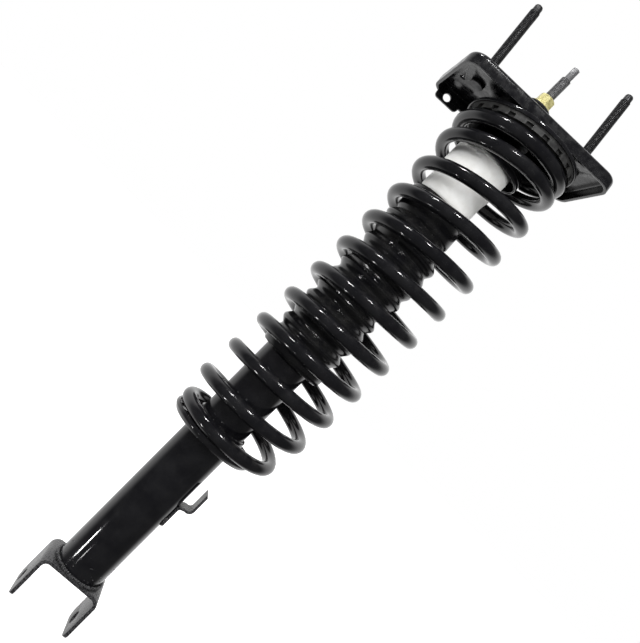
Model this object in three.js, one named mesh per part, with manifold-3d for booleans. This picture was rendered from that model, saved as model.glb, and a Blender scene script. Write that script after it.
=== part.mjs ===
// A coil-over strut assembly: a twin-tube damper inside a bowed side-load coil spring, with an inclined
// two-stud tray mount on top and a forked clevis at the foot. Millimetres, +Z up along the damper axis,
// +X along the line of the mounting studs and of the clevis bolt. The origin is where the damper axis
// meets the top face of the mounting plate.
import * as THREE from "three";
import { mergeVertices } from "three/addons/utils/BufferGeometryUtils.js";
import Module from "manifold-3d";

const wasm = await Module();
wasm.setup();

// ---- driving dimensions ----
const GAP = 0.3; // left between pieces that touch
const PLATE_LENGTH = 179;
const PLATE_OFFSET = 4; // of the plate's middle and the studs from the damper axis, along X
const PLATE_DEPTH = 100;
const PLATE_CORNER = 16;
const SHEET = 3; // gauge of the pressed tray
const FLANGE_DROP = 13.7; // plate top to the flange's lower edge
const PLATE_NORMAL = new THREE.Vector3(-0.094, 0.083, 0.992).normalize();
const STUD_SPACING = 124.5;
const STUD_RADIUS = 5;
const STUD_HEIGHT = 93; // above the plate
const STUD_HEAD_RADIUS = 7.2;
const EAR_WIDTH = 28; // of the drop-down ear near the far flange's left end
const EAR_DROP = 5.5;
const EAR_HOLE_RADIUS = 4.2;
const BOSS_TOP = 12.5; // drawn boss round the rod, above the origin
const BOSS_BORE = 13;

const ROD_RADIUS = 6.25;
const ROD_THREAD_RADIUS = 5;
const ROD_SHOULDER = -18.7;
const ROD_THREAD_TOP = 58;
const ROD_TIP = 71.3;
const NUT_BASE = 20.9;
const NUT_TOP = 32.8;

const WIRE_RADIUS = 7;
const COIL_RADIUS = 55.5; // to the middle of the wire
const FOOT_COIL_RADIUS = 48.5;
const COIL_PITCH = 35.65;
const CLOSED_PITCH = 2 * WIRE_RADIUS + 1.2;
const FIRST_TURN = 0.375; // turns are counted from the spring's right side
const LAST_TURN = 12.15;
const FOOT_COIL_HEIGHT = -408.4;
const BOW_ANGLE = THREE.MathUtils.degToRad(-10); // the way the side-load spring bows, from +X

const CUP_RADIUS = 38;
const CUP_RIM = -55;
const BUMPER_RADIUS = 30.2;
const BUMPER_TOP = -48.5;
const BUMPER_FOOT = -112;
const BOOT_WALL = 1.3;
const BOOT_TOP = -112.4;
const BOOT_FIRST_PEAK = -149;
const BOOT_PITCH = 15.4;
const BOOT_PEAKS = 10;
const BOOT_FOOT = -317;

const TUBE_RADIUS = 25.4;
const TUBE_WALL = 2;
const TUBE_TOP = -258;
const TUBE_FOOT = -597.7;
const CYLINDER_RADIUS = 15; // bore of the pressure tube
const CYLINDER_WALL = 1.5;
const CYLINDER_FOOT = -556;
const PISTON_TOP = -322;
const PISTON_HEIGHT = 16;

const SEAT_RADIUS = 48;
const SEAT_RIM = -413.2;
const SEAT_FLOOR = -421;

const CLEVIS_TOP = -598;
const CLEVIS_TIP = -648;
const CLEVIS_WIDTH = 68; // over both legs
const CLEVIS_DEPTH = 47.5;
const CLEVIS_SHEET = 3.6;
const CLEVIS_BOLT_RADIUS = 6.4;
const CLEVIS_BOLT_HEIGHT = -636.5;

const HOOK_WIDTH = 18;
const HOOK_SHEET = 2.5;
const HOOK_ARM_HEIGHT = -487;

// ---- materials ----
const paint = { color: 0x17181a, roughness: 0.28, metalness: 0.2 };
const phosphate = { color: 0x1d1d1f, roughness: 0.55, metalness: 0.6 };
const rubber = { color: 0x151515, roughness: 0.75, metalness: 0 };
const foam = { color: 0xe9e8e4, roughness: 0.8, metalness: 0 };
const zinc = { color: 0xc2b26a, roughness: 0.35, metalness: 0.9 };
const steel = { color: 0x9a9a9c, roughness: 0.35, metalness: 0.9 };
const chrome = { color: 0xc8cacc, roughness: 0.1, metalness: 1 };
const sintered = { color: 0x5c5c5e, roughness: 0.6, metalness: 0.7 };
const ptfe = { color: 0x6a5a45, roughness: 0.5, metalness: 0 };

const strut = new THREE.Group();
const mount = new THREE.Group(); // everything square to the inclined plate
mount.quaternion.setFromUnitVectors(new THREE.Vector3(0, 0, 1), PLATE_NORMAL);
strut.add(mount);

// ---- shaping ----
function add(name, geometry, finish, parent = strut) {
  const mesh = new THREE.Mesh(geometry, new THREE.MeshStandardMaterial(finish));
  mesh.name = name;
  parent.add(mesh);
  return mesh;
}

// A solid of revolution about Z. The outline is a list of [radius, height], closed or ending on the axis.
function turned(outline, segments = 32) {
  const closed = outline[0][0] > 0 ? [...outline, outline[0]] : outline;
  const area = closed.reduce((sum, [r, z], i) => {
    const [nextR, nextZ] = closed[(i + 1) % closed.length];
    return sum + r * nextZ - nextR * z;
  }, 0);
  const points = closed.map(([r, z]) => new THREE.Vector2(r, z));
  if (area < 0) points.reverse();
  return new THREE.LatheGeometry(points, segments).rotateX(Math.PI / 2);
}

function ring(inner, outer, low, high, segments = 32) {
  return turned([[inner, low], [outer, low], [outer, high], [inner, high]], segments);
}

function disc(radius, low, high, segments = 32) {
  return turned([[0, low], [radius, low], [radius, high], [0, high]], segments);
}

function box(width, depth, height, x, y, z) {
  return new THREE.BoxGeometry(width, depth, height).translate(x, y, z);
}

function solid(geometry) {
  const bare = geometry.clone();
  bare.deleteAttribute("normal");
  bare.deleteAttribute("uv");
  const merged = mergeVertices(bare, 1e-4);
  return new wasm.Manifold(new wasm.Mesh({
    numProp: 3,
    vertProperties: merged.attributes.position.array,
    triVerts: new Uint32Array(merged.index.array),
  }));
}

function surface(manifold) {
  const mesh = manifold.getMesh();
  const geometry = new THREE.BufferGeometry();
  geometry.setAttribute("position", new THREE.BufferAttribute(mesh.vertProperties, 3));
  geometry.setIndex(new THREE.BufferAttribute(mesh.triVerts, 1));
  geometry.computeVertexNormals();
  return geometry;
}

function cut(geometry, ...tools) {
  return surface(tools.reduce((left, tool) => left.subtract(solid(tool)), solid(geometry)));
}

function join(...pieces) {
  return surface(pieces.slice(1).reduce((all, piece) => all.add(solid(piece)), solid(pieces[0])));
}

// Strip steel bent along a path in the XZ plane and centred on y = 0.
function bentStrip(path, sheet, width) {
  const middle = path.getPoints(5).filter((p, i, all) => !i || p.distanceTo(all[i - 1]) > 1e-6);
  const side = (offset) => middle.map((p, i) => {
    const before = middle[Math.max(i - 1, 0)];
    const after = middle[Math.min(i + 1, middle.length - 1)];
    const along = after.clone().sub(before).normalize();
    const into = i ? p.clone().sub(before).normalize() : along;
    return new THREE.Vector2(-along.y, along.x).multiplyScalar(offset / along.dot(into)).add(p);
  });
  const outline = new THREE.Shape([...side(sheet / 2), ...side(-sheet / 2).reverse()]);
  const flat = new THREE.ExtrudeGeometry(outline, { depth: width, bevelEnabled: false });
  return flat.translate(0, 0, -width / 2).rotateX(Math.PI / 2);
}

// ---- the inclined mount ----
// A rectangle with rounded corners and a rounded top edge, deeper than the tray so that its foot is cut off.
function trayBlock(inset, bend, top) {
  const x = PLATE_LENGTH / 2 - inset - bend;
  const y = PLATE_DEPTH / 2 - inset - bend;
  const r = PLATE_CORNER - inset - bend;
  const outline = new THREE.Shape();
  outline.absarc(x - r, y - r, r, 0, Math.PI / 2);
  outline.absarc(r - x, y - r, r, Math.PI / 2, Math.PI);
  outline.absarc(r - x, r - y, r, Math.PI, 1.5 * Math.PI);
  outline.absarc(x - r, r - y, r, 1.5 * Math.PI, 2 * Math.PI);
  const block = new THREE.ExtrudeGeometry(outline, {
    depth: 4 * FLANGE_DROP, curveSegments: 3,
    bevelThickness: bend, bevelSize: bend, bevelSegments: 3,
  });
  return block.translate(PLATE_OFFSET, 0, top - bend - 4 * FLANGE_DROP);
}

// Turns a shape drawn square to the damper into the plate's own frame.
function intoMount(geometry) {
  return geometry.applyQuaternion(mount.quaternion.clone().invert());
}

function mountBracket() {
  const bossOutside = turned([
    [0, -7], [29.9, -7], [29.9, -2], [27.5, 8], [25.4, 11.6], [22.5, BOSS_TOP], [0, BOSS_TOP],
  ], 28);
  const bossInside = turned([
    [0, -30], [28.2, -30], [27.4, -2], [25, 7], [23, 8.9], [21, BOSS_TOP - SHEET], [0, BOSS_TOP - SHEET],
  ], 28);
  const belowFlange = box(2 * PLATE_LENGTH, 2 * PLATE_DEPTH, 120, 0, 0, -FLANGE_DROP - 60);
  const studHoles = [-1, 1].map((side) =>
    disc(STUD_RADIUS + GAP, -9, 9, 20).translate(PLATE_OFFSET + side * STUD_SPACING / 2, 0, 0));
  const leftEnd = PLATE_OFFSET - PLATE_LENGTH / 2;
  const earHeight = EAR_DROP + 5;
  const ear = box(EAR_WIDTH, SHEET - 0.4, earHeight, leftEnd + 21, (PLATE_DEPTH - SHEET) / 2,
    earHeight / 2 - FLANGE_DROP - EAR_DROP);
  const earHole = disc(EAR_HOLE_RADIUS, -9, 9, 20).rotateX(Math.PI / 2)
    .translate(leftEnd + 19, PLATE_DEPTH / 2, -FLANGE_DROP + 0.8);
  const drainHole = disc(3.2, -9, 9, 16).translate(leftEnd + 14, 12, 0);
  const shell = cut(trayBlock(0, 5, 0), trayBlock(SHEET, 2, -SHEET), belowFlange);
  const bossed = join(shell, ear, intoMount(bossOutside));
  return cut(bossed, intoMount(bossInside), intoMount(disc(BOSS_BORE, 0, 40, 24)),
    ...studHoles, earHole, drainHole);
}

function mountStud() {
  const dog = 4;
  return turned([
    [0, -5.6], [STUD_HEAD_RADIUS, -5.6], [STUD_HEAD_RADIUS, -SHEET - GAP], [STUD_RADIUS, -SHEET - GAP],
    [STUD_RADIUS, STUD_HEIGHT - 9.5], [dog, STUD_HEIGHT - 8], [dog, STUD_HEIGHT - 0.8],
    [dog - 0.8, STUD_HEIGHT], [0, STUD_HEIGHT],
  ], 16);
}

add("mount_bracket", mountBracket(), paint, mount);
for (const [name, side] of [["mount_stud_left", -1], ["mount_stud_right", 1]]) {
  add(name, mountStud(), phosphate, mount).position.x = PLATE_OFFSET + side * STUD_SPACING / 2;
}

// ---- the spring's wire ----
// The area under a line that climbs from 0 to 1 and stays there: it eases one pitch into the next.
function eased(u) {
  if (u < 0) return 0;
  return u < 1 ? u * u / 2 : u - 0.5;
}

function wireHeight(turn) {
  const opening = 0.5;
  const closing = 0.35;
  return FOOT_COIL_HEIGHT + (turn - FIRST_TURN)
    + (COIL_PITCH - 1) * opening * eased((turn - 0.5) / opening)
    - (COIL_PITCH - CLOSED_PITCH) * closing * eased((turn - 10.75) / closing);
}

const BOW_MIDDLE = -155;
function bowAt(z) {
  const above = z > BOW_MIDDLE;
  return 15.8 - (above ? 4.5 : 8.8) * ((z - BOW_MIDDLE) / (above ? 125 : 245)) ** 2;
}

// How far the coil's plane tips: its right side drops low down and rises to meet the plate at the top.
function coilTilt(z) {
  return THREE.MathUtils.degToRad(3.8 - 7.8 * THREE.MathUtils.clamp((z + 270) / 220, 0, 1));
}

class SpringWire extends THREE.Curve {
  constructor(overrun = 0) {
    super();
    this.first = FIRST_TURN - overrun;
    this.last = LAST_TURN + overrun;
  }

  getPoint(t, target = new THREE.Vector3()) {
    const turn = THREE.MathUtils.lerp(this.first, this.last, t);
    const angle = 2 * Math.PI * turn;
    const z = wireHeight(turn);
    const radius = THREE.MathUtils.lerp(FOOT_COIL_RADIUS, COIL_RADIUS,
      THREE.MathUtils.smoothstep(turn, 0.5, 1.5));
    const x = radius * Math.cos(angle);
    const y = radius * Math.sin(angle);
    const lean = 0.065 * THREE.MathUtils.smoothstep(z, -110, -30);
    target.set(bowAt(z) + x * Math.cos(coilTilt(z)), y, z - x * Math.sin(coilTilt(z)) - y * lean);
    return target.applyAxisAngle(new THREE.Vector3(0, 0, 1), BOW_ANGLE);
  }
}

function springWire(radius, overrun = 0) {
  const section = new THREE.Shape().absarc(0, 0, radius, 0, 2 * Math.PI);
  return new THREE.ExtrudeGeometry(section, {
    steps: Math.round((LAST_TURN - FIRST_TURN) * 18),
    curveSegments: 4,
    extrudePath: new SpringWire(overrun),
  });
}

add("coil_spring", springWire(WIRE_RADIUS), paint);

// ---- upper spring seat and its rubber isolator, centred on the spring's top coil ----
const SEAT_OFFSET = 10;
const seatX = SEAT_OFFSET * Math.cos(BOW_ANGLE);
const seatY = SEAT_OFFSET * Math.sin(BOW_ANGLE);

// The room that the top coil takes up, in the frame of a piece centred on the seat.
function topCoilRoom() {
  return intoMount(springWire(WIRE_RADIUS + 1.2, 0.03)).translate(-seatX, -seatY, 0);
}

function upperSpringSeat() {
  const pan = turned([
    [41.5, -SHEET - GAP], [43.8, -SHEET - GAP], [43.8, -15.6], [60.2, -15.6], [61.4, -16.8],
    [61.4, -20], [59.6, -20], [59.6, -18], [41.5, -18],
  ], 44);
  return cut(pan, topCoilRoom());
}

function springIsolator() {
  const rim = 59.2;
  const low = -31;
  const notchCount = 20;
  const notchWidth = 7;
  const notchHeight = 17;
  const body = turned([
    [42, low + 3], [44, low], [rim, low], [rim, -18 - GAP], [42, -18 - GAP],
  ], 48);
  const notches = Array.from({ length: notchCount }, (_, i) =>
    box(notchWidth, notchWidth, notchHeight, rim, 0, low).rotateZ(2 * Math.PI * i / notchCount));
  return cut(body, ...notches, topCoilRoom());
}

add("upper_spring_seat", upperSpringSeat(), paint, mount).position.set(seatX, seatY, 0);
add("spring_isolator", springIsolator(), rubber, mount).position.set(seatX, seatY, 0);

// ---- rod, bushings and fastenings ----
add("piston_rod", turned([
  [0, -354], [4, -354], [4.8, -353], [4.8, PISTON_TOP + 4], [ROD_RADIUS, PISTON_TOP + 4],
  [ROD_RADIUS, ROD_SHOULDER], [ROD_THREAD_RADIUS, ROD_SHOULDER], [ROD_THREAD_RADIUS, ROD_THREAD_TOP - 1],
  [3.65, ROD_THREAD_TOP], [3.65, ROD_TIP - 0.8], [3, ROD_TIP], [0, ROD_TIP],
], 20), chrome);

const RETAINER_TOP = ROD_SHOULDER + GAP + 2.5;
const RETAINER_BORE = ROD_THREAD_RADIUS + GAP;
add("lower_retainer", ring(RETAINER_BORE, 22, ROD_SHOULDER + GAP, RETAINER_TOP, 24), steel);
add("bushing_sleeve", ring(RETAINER_BORE, 7.2, RETAINER_TOP + GAP, NUT_BASE - 2.7, 24), steel);
add("upper_retainer", ring(RETAINER_BORE, 13, NUT_BASE - 2.4, NUT_BASE - GAP, 24), steel);
add("lower_bushing", turned([
  [8, -15.1], [19.5, -15.1], [21.5, -12], [20.5, BOSS_TOP - SHEET - GAP], [8, BOSS_TOP - SHEET - GAP],
], 24), rubber);
add("upper_bushing", turned([
  [8, BOSS_TOP - SHEET + GAP], [BOSS_BORE - GAP, BOSS_TOP - SHEET + GAP], [BOSS_BORE - GAP, BOSS_TOP + GAP],
  [14.8, BOSS_TOP + GAP], [15.1, 15], [13, 17.8], [8, 17.8],
], 24), rubber);

function flangeNut() {
  const hexagon = new THREE.CylinderGeometry(8.9, 8.9, NUT_TOP - NUT_BASE - 1, 6)
    .rotateX(Math.PI / 2).translate(0, 0, (NUT_BASE + NUT_TOP + 1) / 2);
  const flange = turned([[0, NUT_BASE], [10.6, NUT_BASE], [10.2, NUT_BASE + 2], [0, NUT_BASE + 4.6]], 24);
  return cut(join(hexagon, flange), disc(RETAINER_BORE, NUT_BASE - 5, NUT_TOP + 5, 24));
}
add("rod_nut", flangeNut(), zinc);

// ---- jounce bumper, its cup and the dust boot, all hung on the rod ----
// Moves each level of an upright shape off the damper axis, the way the spring bows.
function leaned(geometry, leanAt) {
  const points = geometry.attributes.position;
  for (let i = 0; i < points.count; i++) {
    const lean = leanAt(points.getZ(i));
    points.setX(i, points.getX(i) + lean * Math.cos(BOW_ANGLE));
    points.setY(i, points.getY(i) + lean * Math.sin(BOW_ANGLE));
  }
  return geometry;
}

const cup = turned([
  [6.7, -21.6], [14, -21.6], [22, -36], [33, -42.4], [CUP_RADIUS - 2.4, CUP_RIM],
  [CUP_RADIUS - 0.4, CUP_RIM], [CUP_RADIUS, CUP_RIM + 3], [CUP_RADIUS - 1.2, CUP_RIM + 9],
  [34.6, -39.8], [24, -34], [16, -19.4], [6.7, -19],
], 36);
add("bump_cup", leaned(cup, (z) => 2.4 * THREE.MathUtils.smoothstep(-z, 22, 45)), paint);

add("jounce_bumper", turned([
  [8, BUMPER_TOP], [BUMPER_RADIUS - 1, BUMPER_TOP], [BUMPER_RADIUS, BUMPER_TOP - 2],
  [BUMPER_RADIUS, -78], [28.9, -84], [28.4, -90], [28.6, BUMPER_FOOT + 3], [26.5, BUMPER_FOOT],
  [8, BUMPER_FOOT],
], 32), foam);

// The bellows leans off the damper axis with the spring, and comes back to it over the tube.
function bootLean(z) {
  return 4.8 * THREE.MathUtils.smoothstep(-z, 120, 170)
    - 2 * THREE.MathUtils.smoothstep(-z, 200, 240);
}

function bootOutline() {
  const valleyAt = (z) => THREE.MathUtils.lerp(29, 31.5, THREE.MathUtils.smoothstep(-z, 200, 250));
  const peakAt = (z) => (z < -220 ? 36.2 : 37);
  const collar = [[10, BOOT_TOP], [31.6, BOOT_TOP], [32.8, BOOT_TOP - 1.5], [32.6, -138]];
  const folds = Array.from({ length: BOOT_PEAKS }, (_, i) => BOOT_FIRST_PEAK - i * BOOT_PITCH)
    .flatMap((z) => [[peakAt(z), z], [valleyAt(z), z - BOOT_PITCH / 2]]);
  return [...collar, ...folds, [35, -299], [35.6, -309], [33, BOOT_FOOT]];
}

function dustBoot() {
  const outside = bootOutline();
  const inside = outside.slice(1).reverse().map(([r, z]) => [r - BOOT_WALL, z]);
  inside[inside.length - 1] = [outside[2][0] - BOOT_WALL, BOOT_TOP - BOOT_WALL];
  return leaned(turned([...outside, ...inside, [10, BOOT_TOP - BOOT_WALL]], 26), bootLean);
}
add("dust_boot", dustBoot(), rubber);

// ---- piston group on the rod's lower end ----
const stackBore = 4.8 + 0.2;
const pistonFoot = PISTON_TOP - PISTON_HEIGHT;
const bandTop = PISTON_TOP - 4;
const bandFoot = pistonFoot + 4;
add("rebound_stop", ring(ROD_RADIUS + 0.1, 11, -297, -287, 20), steel);
add("rebound_valve_discs", ring(stackBore, 11.5, PISTON_TOP + GAP, PISTON_TOP + 2.6, 24), steel);
add("piston", turned([
  [stackBore, PISTON_TOP], [14.7, PISTON_TOP], [14.7, bandTop], [13.2, bandTop], [13.2, bandFoot],
  [14.7, bandFoot], [14.7, pistonFoot], [stackBore, pistonFoot],
], 24), sintered);
add("piston_band", ring(13.5, 14.85, bandFoot + GAP, bandTop - GAP, 24), ptfe);
add("compression_valve_discs", ring(stackBore, 11.5, pistonFoot - 2.6, pistonFoot - GAP, 24), steel);
add("piston_nut", cut(
  new THREE.CylinderGeometry(8, 8, 7.5, 6).rotateX(Math.PI / 2).translate(0, 0, pistonFoot - 6.8),
  disc(stackBore, -360, -330, 24),
), steel);

// ---- damper body ----
const tubeBore = TUBE_RADIUS - TUBE_WALL;
const cylinderOutside = CYLINDER_RADIUS + CYLINDER_WALL;
add("reserve_tube", ring(tubeBore, TUBE_RADIUS, TUBE_FOOT, TUBE_TOP, 40), paint);
add("strike_cap", turned([
  [8, TUBE_TOP + GAP], [TUBE_RADIUS + GAP, TUBE_TOP + GAP], [TUBE_RADIUS + GAP, TUBE_TOP - 12],
  [TUBE_RADIUS + 1.5, TUBE_TOP - 12], [TUBE_RADIUS + 1.5, TUBE_TOP + 1], [TUBE_RADIUS, TUBE_TOP + 2],
  [8, TUBE_TOP + 2],
], 28), steel);
add("rod_seal", turned([
  [ROD_RADIUS + 0.15, TUBE_TOP - 5.7], [tubeBore - GAP, TUBE_TOP - 5.7], [tubeBore - GAP, TUBE_TOP - 0.6],
  [9, TUBE_TOP - 0.6], [ROD_RADIUS + 0.15, TUBE_TOP - 2.5],
], 20), rubber);
add("rod_guide", turned([
  [ROD_RADIUS + 0.15, TUBE_TOP - 28], [CYLINDER_RADIUS - GAP, TUBE_TOP - 28],
  [CYLINDER_RADIUS - GAP, TUBE_TOP - 18], [tubeBore - GAP, TUBE_TOP - 18],
  [tubeBore - GAP, TUBE_TOP - 6], [ROD_RADIUS + 0.15, TUBE_TOP - 6],
], 20), sintered);
add("pressure_tube", ring(CYLINDER_RADIUS, cylinderOutside, CYLINDER_FOOT, TUBE_TOP - 18 - GAP, 28), steel);
add("base_valve", turned([
  [0, CYLINDER_FOOT - 14], [4, CYLINDER_FOOT - 14], [4, CYLINDER_FOOT - 8], [19, CYLINDER_FOOT - 14],
  [22, CYLINDER_FOOT - 14], [22, CYLINDER_FOOT - 9], [18.5, CYLINDER_FOOT - GAP],
  [CYLINDER_RADIUS - GAP, CYLINDER_FOOT - GAP], [CYLINDER_RADIUS - GAP, CYLINDER_FOOT + 8],
  [0, CYLINDER_FOOT + 8],
], 20), sintered);
add("base_cap", turned([
  [0, TUBE_FOOT + 6], [14, TUBE_FOOT + 6.6], [20, TUBE_FOOT + 9], [tubeBore - GAP, TUBE_FOOT + 14],
  [tubeBore - GAP, TUBE_FOOT + 18], [20.4, TUBE_FOOT + 15], [16, TUBE_FOOT + 11], [0, TUBE_FOOT + 9.4],
], 24), steel);

const hubRadius = TUBE_RADIUS + GAP;
add("lower_spring_seat", turned([
  [hubRadius, -402], [hubRadius + 2.3, -402.6], [hubRadius + 2.8, -414], [hubRadius + 5, SEAT_FLOOR + 3.4],
  [hubRadius + 8, SEAT_FLOOR + 2.5], [SEAT_RADIUS - 5, SEAT_FLOOR + 2.5], [SEAT_RADIUS - 2.5, -416],
  [SEAT_RADIUS - 2.5, SEAT_RIM], [SEAT_RADIUS, SEAT_RIM], [SEAT_RADIUS, -416.6],
  [SEAT_RADIUS - 3.6, SEAT_FLOOR], [hubRadius + 6.6, SEAT_FLOOR], [hubRadius + 3, SEAT_FLOOR + 2],
  [hubRadius, SEAT_FLOOR + 6],
], 40), paint);

// ---- clevis, hose hook and welds ----
function clevisBracket() {
  const x = (CLEVIS_WIDTH - CLEVIS_SHEET) / 2;
  const top = CLEVIS_TOP - CLEVIS_SHEET / 2;
  const bend = 7.2;
  const path = new THREE.Path();
  path.moveTo(-x, CLEVIS_TIP);
  path.lineTo(-x, top - bend);
  path.absarc(bend - x, top - bend, bend, Math.PI, Math.PI / 2, true);
  path.absarc(x - bend, top - bend, bend, Math.PI / 2, 0, true);
  path.lineTo(x, CLEVIS_TIP);
  const bolt = disc(CLEVIS_BOLT_RADIUS, -60, 60, 24).rotateY(Math.PI / 2)
    .translate(0, 0, CLEVIS_BOLT_HEIGHT);
  return cut(bentStrip(path, CLEVIS_SHEET, CLEVIS_DEPTH), bolt);
}
add("clevis_bracket", clevisBracket(), paint);

add("clevis_weld", turned([
  [hubRadius, TUBE_FOOT + GAP], [hubRadius + 4.2, TUBE_FOOT + GAP], [hubRadius + 3.2, TUBE_FOOT + 2.6],
  [hubRadius, TUBE_FOOT + 4.8],
], 32), paint);
add("seat_weld", turned([
  [hubRadius, SEAT_FLOOR - 1.5], [hubRadius + 1.6, SEAT_FLOOR - 0.6], [hubRadius + 2.4, SEAT_FLOOR + 1.2],
  [hubRadius, SEAT_FLOOR + 5.2],
], 32), paint);

function hoseHook() {
  const foot = TUBE_RADIUS + GAP + HOOK_SHEET / 2;
  const reach = 38;
  const bend = 5;
  const path = new THREE.Path();
  path.moveTo(foot, -511);
  path.lineTo(foot, HOOK_ARM_HEIGHT - bend);
  path.absarc(foot + bend, HOOK_ARM_HEIGHT - bend, bend, Math.PI, Math.PI / 2, true);
  path.absarc(reach - bend, HOOK_ARM_HEIGHT + bend, bend, 1.5 * Math.PI, 2 * Math.PI);
  path.lineTo(reach, -460);
  const slanted = box(20, 40, 8, 0, 0, 4).rotateY(Math.PI / 4)
    .translate(reach + HOOK_SHEET / 2, 0, -464);
  return cut(bentStrip(path, HOOK_SHEET, HOOK_WIDTH), slanted,
    disc(TUBE_RADIUS + GAP, -520, -450, 48));
}
add("hose_hook", hoseHook(), paint);

export default strut;
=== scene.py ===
import math
import random

import bpy
from mathutils import Matrix, Quaternion, Vector


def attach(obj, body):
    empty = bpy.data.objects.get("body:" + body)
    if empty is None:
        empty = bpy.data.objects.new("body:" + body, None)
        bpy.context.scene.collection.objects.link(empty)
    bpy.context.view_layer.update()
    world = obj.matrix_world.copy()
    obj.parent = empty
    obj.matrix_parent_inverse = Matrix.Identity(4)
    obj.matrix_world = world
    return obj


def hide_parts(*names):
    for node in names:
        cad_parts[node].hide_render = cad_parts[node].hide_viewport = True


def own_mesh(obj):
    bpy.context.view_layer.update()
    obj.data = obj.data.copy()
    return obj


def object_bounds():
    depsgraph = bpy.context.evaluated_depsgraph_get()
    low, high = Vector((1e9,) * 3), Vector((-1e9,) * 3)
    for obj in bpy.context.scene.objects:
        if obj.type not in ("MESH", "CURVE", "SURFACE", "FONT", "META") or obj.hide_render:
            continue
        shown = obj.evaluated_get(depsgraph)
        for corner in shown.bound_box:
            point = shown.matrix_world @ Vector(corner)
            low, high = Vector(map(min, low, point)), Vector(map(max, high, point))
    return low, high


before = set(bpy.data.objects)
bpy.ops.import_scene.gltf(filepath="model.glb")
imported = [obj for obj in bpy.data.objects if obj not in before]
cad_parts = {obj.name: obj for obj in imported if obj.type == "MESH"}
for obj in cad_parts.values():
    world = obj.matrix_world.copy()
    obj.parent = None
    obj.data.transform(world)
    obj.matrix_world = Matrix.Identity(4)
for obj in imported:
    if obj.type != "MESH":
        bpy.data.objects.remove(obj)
cad_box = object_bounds()


# ---- camera and studio ----
# The strut stands on its clevis on a pale floor. The camera looks at its side, from ten degrees to the left
# of the hose hook's side, and is rolled so that the strut runs from corner to corner of the frame.
MM = 0.001
VIEW_TURN = math.radians(10)
VIEW_ROLL = math.radians(45)
VIEW_DISTANCE = 0.7
FOCAL_LENGTH = 41.26  # on a 36 mm sensor

forward = Vector((math.sin(VIEW_TURN), math.cos(VIEW_TURN), 0))
level = Vector((math.cos(VIEW_TURN), -math.sin(VIEW_TURN), 0))
upright = Vector((0, 0, 1))
across = math.cos(VIEW_ROLL) * level + math.sin(VIEW_ROLL) * upright
upward = math.cos(VIEW_ROLL) * upright - math.sin(VIEW_ROLL) * level
target = Vector((0, 0, -270 * MM)) - 3.6 * MM * level

bpy.ops.object.camera_add()
camera = bpy.context.object
camera.data.lens = FOCAL_LENGTH
camera.data.clip_start = 0.01
axes = Matrix((across, upward, -forward)).transposed().to_4x4()
camera.matrix_world = Matrix.Translation(target - VIEW_DISTANCE * forward) @ axes
bpy.context.scene.camera = camera
bpy.context.scene.view_settings.view_transform = "Standard"

FLOOR_SIZE = 12
bpy.ops.mesh.primitive_plane_add(size=FLOOR_SIZE, location=(0, 0, cad_box[0][2] - 0.5 * MM))
floor = bpy.context.object
floor.name = "floor"
pale = bpy.data.materials.new("pale_floor")
pale.use_nodes = True
pale_shader = pale.node_tree.nodes["Principled BSDF"]
pale_shader.inputs["Base Color"].default_value = (0.92, 0.92, 0.92, 1)
pale_shader.inputs["Roughness"].default_value = 0.8
pale_shader.inputs["Emission Color"].default_value = (1, 1, 1, 1)
pale_shader.inputs["Emission Strength"].default_value = 0.75
floor.data.materials.append(pale)
floor.visible_glossy = False
floor.visible_diffuse = False
floor.visible_shadow = False

# White paper behind the strut and a dim room in front of it, where only the lamps are bright.
world = bpy.data.worlds.new("studio")
bpy.context.scene.world = world
world.use_nodes = True
sky = world.node_tree
sky.nodes.clear()
direction = sky.nodes.new("ShaderNodeTexCoord")
facing = sky.nodes.new("ShaderNodeVectorMath")
facing.operation = "DOT_PRODUCT"
facing.inputs[1].default_value = -forward + 0.22 * level
fade = sky.nodes.new("ShaderNodeMapRange")
fade.interpolation_type = "SMOOTHSTEP"
fade.inputs["From Min"].default_value = -0.55
fade.inputs["From Max"].default_value = -0.05
fade.inputs["To Min"].default_value = 1.0
fade.inputs["To Max"].default_value = 0.1
room = sky.nodes.new("ShaderNodeBackground")
paper = sky.nodes.new("ShaderNodeBackground")
room.inputs["Color"].default_value = (1, 1, 1, 1)
paper.inputs["Color"].default_value = (1, 1, 1, 1)
seen = sky.nodes.new("ShaderNodeLightPath")
either = sky.nodes.new("ShaderNodeMixShader")
output = sky.nodes.new("ShaderNodeOutputWorld")
sky.links.new(direction.outputs["Generated"], facing.inputs[0])
sky.links.new(facing.outputs["Value"], fade.inputs["Value"])
sky.links.new(fade.outputs["Result"], room.inputs["Strength"])
sky.links.new(seen.outputs["Is Camera Ray"], either.inputs["Fac"])
sky.links.new(room.outputs["Background"], either.inputs[1])
sky.links.new(paper.outputs["Background"], either.inputs[2])
sky.links.new(either.outputs["Shader"], output.inputs["Surface"])


def lamp(name, azimuth, height, distance, size, watts, aimed_at=-0.3, in_reflections=True):
    """A lamp round the strut, of (width, height), aimed at a height on the damper's axis. Azimuth is in
    degrees to the right of the camera."""
    turn = math.radians(azimuth)
    place = Vector((0, 0, height)) + distance * (math.sin(turn) * level - math.cos(turn) * forward)
    bpy.ops.object.light_add(type="AREA", location=place)
    light = bpy.context.object
    light.name = name
    light.data.shape = "RECTANGLE"
    light.data.size, light.data.size_y = size
    light.data.energy = watts
    light.visible_camera = False
    light.visible_glossy = in_reflections
    aim = Vector((0, 0, aimed_at)) - place
    light.rotation_euler = aim.to_track_quat("-Z", "Y").to_euler()


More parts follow.
